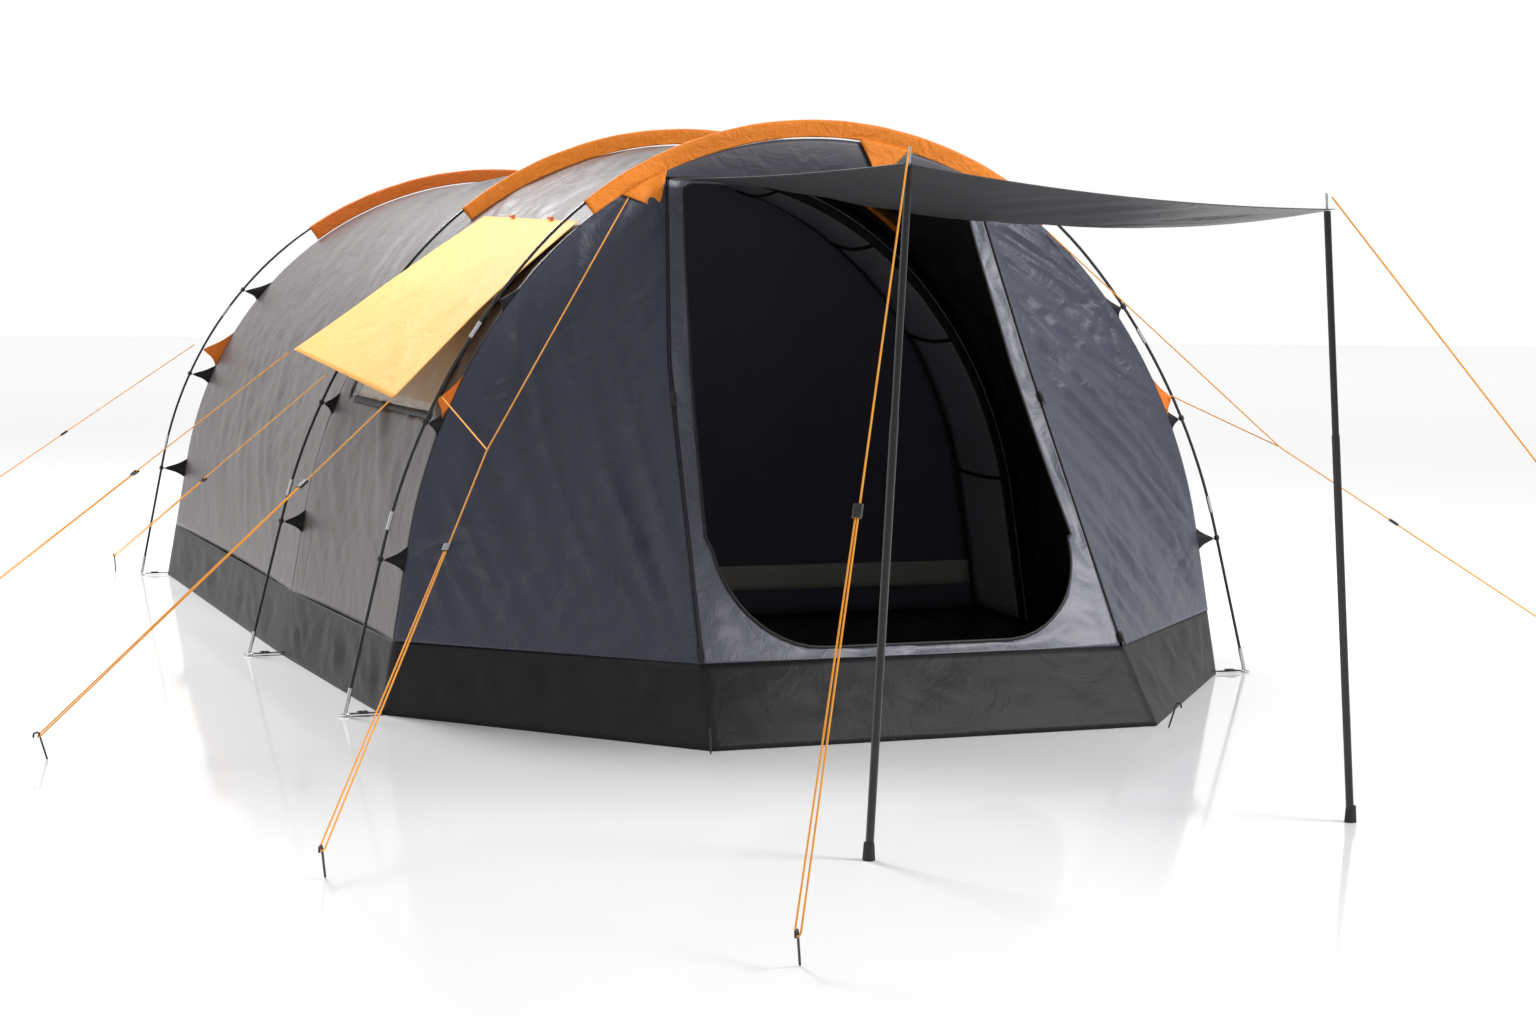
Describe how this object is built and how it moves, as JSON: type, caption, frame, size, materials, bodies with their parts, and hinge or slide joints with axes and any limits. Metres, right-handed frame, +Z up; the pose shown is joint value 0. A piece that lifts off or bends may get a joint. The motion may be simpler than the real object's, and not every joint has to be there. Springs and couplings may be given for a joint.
{
  "type": "tunnel tent with outside hoop poles and porch canopy",
  "caption": "Tunnel tent hung in outside hoop poles, with a pointed porch, U-shaped door, side window under an awning, canopy on telescopic poles, guys and pegs.",
  "frame": {"origin": "on the ground, on the underside of the groundsheet, under the crown of the middle hoop", "axes": "+Z up, +Y along the tent from the door towards the back panel, +X to the right as seen by someone facing the door"},
  "size_m": [6.1146, 8.3259, 2.12],
  "materials": {
    "pole_black": "glossy pultruded fibreglass rod",
    "steel": "bright plated steel",
    "webbing_black": "ribbed polyester webbing",
    "hardware_black": "moulded nylon",
    "sleeve_orange": "plain woven polyester",
    "fly_taupe": "coated polyester, slight sheen",
    "porch_slate": "coated polyester, slight sheen",
    "skirt_dark": "coated polyester, slight sheen",
    "groundsheet_black": "coated sheet, glossy",
    "window_clear": "clear flexible film",
    "curtain_cream": "plain woven polyester",
    "inner_navy": "breathable polyester",
    "inner_grey": "breathable polyester",
    "awning_amber": "coated polyester, translucent",
    "canopy_charcoal": "coated polyester, slight sheen",
    "zip_black": "coil zip under a cloth flap",
    "slider_black": "painted die casting",
    "tube_black": "painted steel tube",
    "foot_rubber": "moulded rubber",
    "guy_orange": "braided polyester cord",
    "peg_black": "painted steel rod",
    "peg_orange": "moulded plastic"
  },
  "bodies": {
    "tent": {"awning_front_guy": "guy_orange", "awning_rear_guy": "guy_orange", "awning_toggles": "hardware_black", "back_panel": "fly_taupe", "canopy_pole_spikes": "steel", "clip_straps": "webbing_black", "door_canopy": "canopy_charcoal", "foot_ladder_locks": "hardware_black", "foot_webbing": "webbing_black", "front_hoop_pole": "pole_black", "front_pole_sleeve": "sleeve_orange", "groundsheet": "groundsheet_black", "guy_branches": "guy_orange", "guy_patches": "sleeve_orange", "hoop_clips": "hardware_black", "hoop_foot_pins": "steel", "hoop_foot_rings": "steel", "inner_tent_body": "inner_navy", "inner_tent_front": "inner_navy", "left_canopy_guy": "guy_orange", "left_canopy_pole_upper": "tube_black", "left_front_guy": "guy_orange", "middle_fly": "fly_taupe", "middle_hoop_guy": "guy_orange", "middle_hoop_pole": "pole_black", "middle_pole_sleeve": "sleeve_orange", "mud_skirt": "skirt_dark", "pegs": "peg_black", "pole_ferrules": "steel", "porch_front_panel": "porch_slate", "porch_hood": "porch_slate", "porch_left_panel": "porch_slate", "porch_right_panel": "porch_slate", "rear_fly": "fly_taupe", "rear_hoop_guy": "guy_orange", "rear_hoop_pole": "pole_black", "rear_pole_sleeve": "sleeve_orange", "right_canopy_guy": "guy_orange", "right_canopy_pole_upper": "tube_black", "right_front_guy": "guy_orange", "side_awning": "awning_amber", "side_curtains": "curtain_cream", "side_window": "window_clear", "zip_tracks": "zip_black"},
    "left_pole_lower_half": {"left_canopy_pole_lower": "tube_black", "left_canopy_pole_foot": "foot_rubber"},
    "right_pole_lower_half": {"right_canopy_pole_lower": "tube_black", "right_canopy_pole_foot": "foot_rubber"},
    "left_lower_slider": {"left_lower_zip_slider": "slider_black"},
    "left_upper_slider": {"left_upper_zip_slider": "slider_black"},
    "right_lower_slider": {"right_lower_zip_slider": "slider_black"},
    "right_upper_slider": {"right_upper_zip_slider": "slider_black"},
    "left_canopy_runner": {"left_canopy_runner": "hardware_black"},
    "right_canopy_runner": {"right_canopy_runner": "hardware_black"},
    "left_front_runner": {"left_front_runner": "hardware_black"},
    "right_front_runner": {"right_front_runner": "hardware_black"},
    "awning_front_runner": {"awning_front_runner": "hardware_black"},
    "awning_rear_runner": {"awning_rear_runner": "hardware_black"},
    "middle_hoop_runner": {"middle_hoop_runner": "hardware_black"},
    "rear_hoop_runner": {"rear_hoop_runner": "hardware_black"}
  },
  "joints": [
    {"name": "left_pole_telescope", "type": "slide", "parent": "tent", "child": "left_pole_lower_half", "axis": [0.0439, 0.0023, 0.999], "range_m": [0, 0.35]},
    {"name": "right_pole_telescope", "type": "slide", "parent": "tent", "child": "right_pole_lower_half", "axis": [-0.0888, -0.0065, 0.996], "range_m": [0, 0.35]},
    {"name": "left_lower_zip", "type": "slide", "parent": "tent", "child": "left_lower_slider", "axis": [0.0743, 0.5216, 0.85], "range_m": [0, 0.35]},
    {"name": "left_upper_zip", "type": "slide", "parent": "tent", "child": "left_upper_slider", "axis": [0.0743, 0.5216, 0.85], "range_m": [-0.35, 0.05]},
    {"name": "right_lower_zip", "type": "slide", "parent": "tent", "child": "right_lower_slider", "axis": [-0.0743, 0.5216, 0.85], "range_m": [0, 0.35]},
    {"name": "right_upper_zip", "type": "slide", "parent": "tent", "child": "right_upper_slider", "axis": [-0.0743, 0.5216, 0.85], "range_m": [-0.35, 0.05]},
    {"name": "left_canopy_runner_slide", "type": "slide", "parent": "tent", "child": "left_canopy_runner", "axis": [-0.3129, -0.4378, -0.8429], "range_m": [-0.1, 0.1]},
    {"name": "right_canopy_runner_slide", "type": "slide", "parent": "tent", "child": "right_canopy_runner", "axis": [0.5335, -0.3229, -0.7818], "range_m": [-0.1, 0.1]},
    {"name": "left_front_runner_slide", "type": "slide", "parent": "tent", "child": "left_front_runner", "axis": [-0.4313, -0.7689, -0.4719], "range_m": [-0.1, 0.1]},
    {"name": "right_front_runner_slide", "type": "slide", "parent": "tent", "child": "right_front_runner", "axis": [0.7963, -0.2849, -0.5336], "range_m": [-0.1, 0.1]},
    {"name": "awning_front_runner_slide", "type": "slide", "parent": "tent", "child": "awning_front_runner", "axis": [-0.7238, -0.3667, -0.5845], "range_m": [-0.1, 0.1]},
    {"name": "awning_rear_runner_slide", "type": "slide", "parent": "tent", "child": "awning_rear_runner", "axis": [-0.4052, 0.7908, -0.4587], "range_m": [-0.1, 0.1]},
    {"name": "middle_hoop_runner_slide", "type": "slide", "parent": "tent", "child": "middle_hoop_runner", "axis": [-0.1364, 0.9391, -0.3155], "range_m": [-0.1, 0.1]},
    {"name": "rear_hoop_runner_slide", "type": "slide", "parent": "tent", "child": "rear_hoop_runner", "axis": [-0.7757, 0.266, -0.5723], "range_m": [-0.1, 0.1]}
  ]
}
